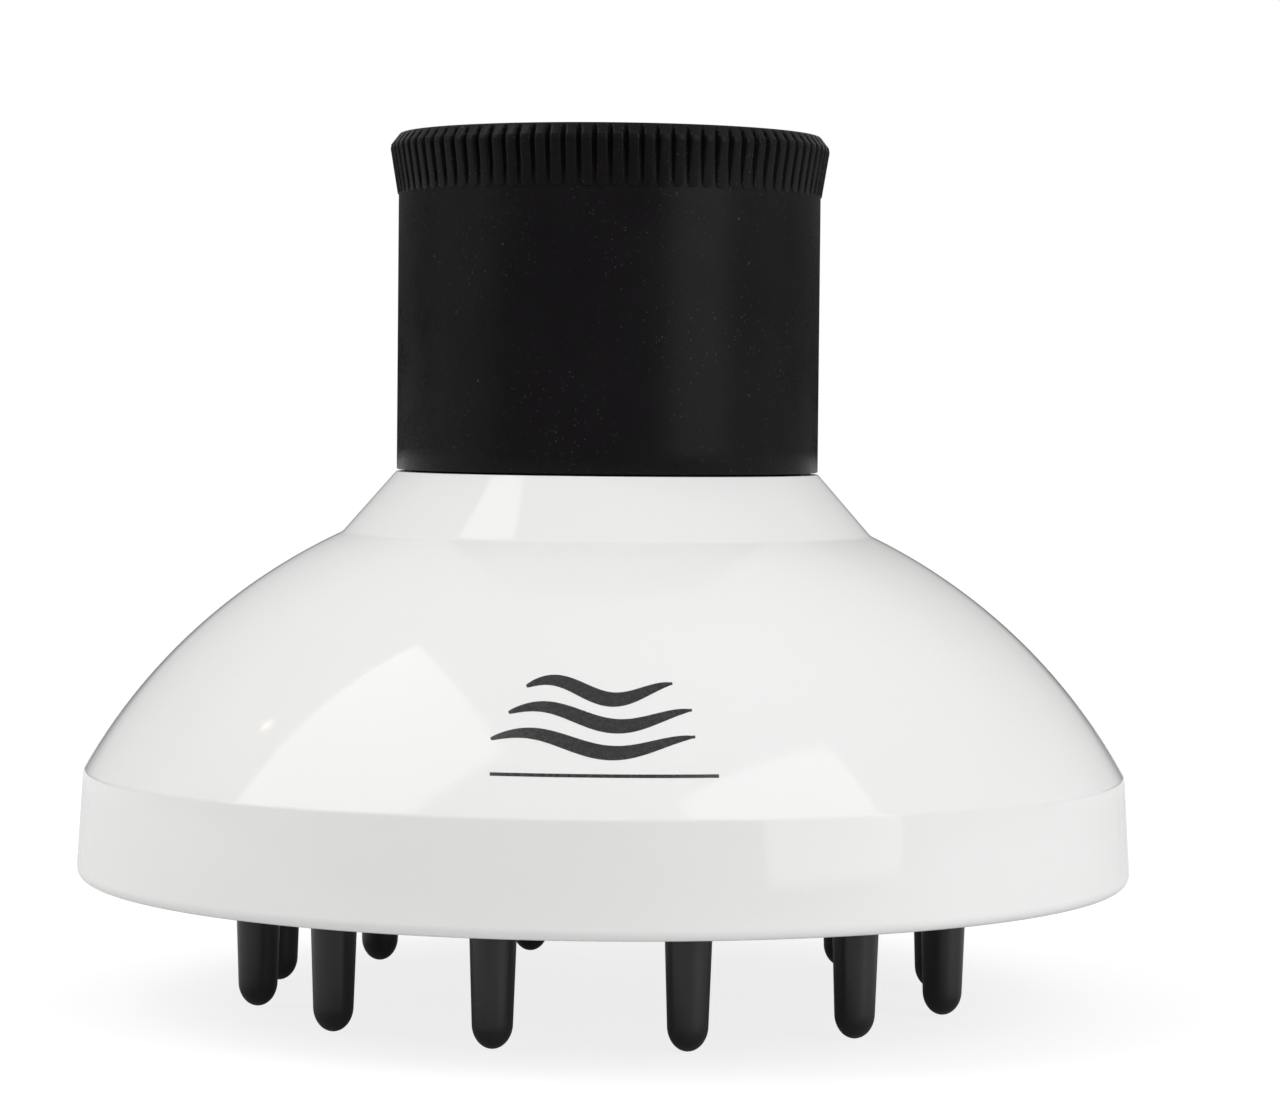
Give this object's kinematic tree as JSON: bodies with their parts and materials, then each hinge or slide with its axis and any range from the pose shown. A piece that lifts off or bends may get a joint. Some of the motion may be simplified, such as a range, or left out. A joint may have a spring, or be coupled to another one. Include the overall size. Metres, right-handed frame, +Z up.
{
  "type": "dryer diffuser",
  "caption": "Hair dryer diffuser: a white bell on a black rubber collar with a ribbed lip, over a perforated plate with blunt black fingers.",
  "frame": {"origin": "on the air axis, in the plane of the outer finger tips, where the part stands", "axes": "+Z up the air axis, from the fingers towards the dryer; the printed front faces -Y"},
  "size_m": [0.15, 0.15, 0.1234],
  "materials": {
    "white_gloss": "glossy injection-moulded plastic",
    "black_rubber": "matte moulded rubber with faint lint",
    "finger_plastic": "satin moulded plastic",
    "black_plastic": "satin moulded plastic with a fine texture",
    "seal_rubber": "smooth black seal rubber",
    "natural_nylon": "natural nylon",
    "spring_steel": "bright spring steel"
  },
  "bodies": {
    "bell": {"bell_shell": "white_gloss", "neck_seal": "seal_rubber"},
    "neck": {"neck_tube": "black_plastic", "slip_washer": "natural_nylon", "retaining_ring": "spring_steel"},
    "sleeve": {"grip_sleeve": "black_rubber"},
    "plate": {"finger_plate": "black_plastic", "rim_gasket": "seal_rubber", "air_deflector": "black_plastic", "deflector_screw": "spring_steel", "screw_washer": "spring_steel", "centre_cap": "black_plastic", "outer_finger_01": "finger_plastic", "outer_finger_02": "finger_plastic", "outer_finger_03": "finger_plastic", "outer_finger_04": "finger_plastic", "outer_finger_05": "finger_plastic", "outer_finger_06": "finger_plastic", "outer_finger_07": "finger_plastic", "outer_finger_08": "finger_plastic", "outer_finger_09": "finger_plastic", "outer_finger_10": "finger_plastic", "outer_finger_11": "finger_plastic", "outer_finger_12": "finger_plastic", "inner_finger_01": "finger_plastic", "inner_finger_02": "finger_plastic", "inner_finger_03": "finger_plastic", "inner_finger_04": "finger_plastic", "inner_finger_05": "finger_plastic", "inner_finger_06": "finger_plastic"}
  },
  "joints": [
    {"name": "neck_swivel", "type": "hinge", "parent": "bell", "child": "neck", "pos_m": [0, 0, 0.073], "axis": [0, 0, 1], "continuous": true},
    {"name": "sleeve_pull", "type": "slide", "parent": "neck", "child": "sleeve", "axis": [0, 0, 1], "range_m": [0, 0.035]},
    {"name": "plate_twist", "type": "hinge", "parent": "bell", "child": "plate", "pos_m": [0, 0, 0.026], "axis": [0, 0, 1], "range_deg": [-25, 0]}
  ]
}
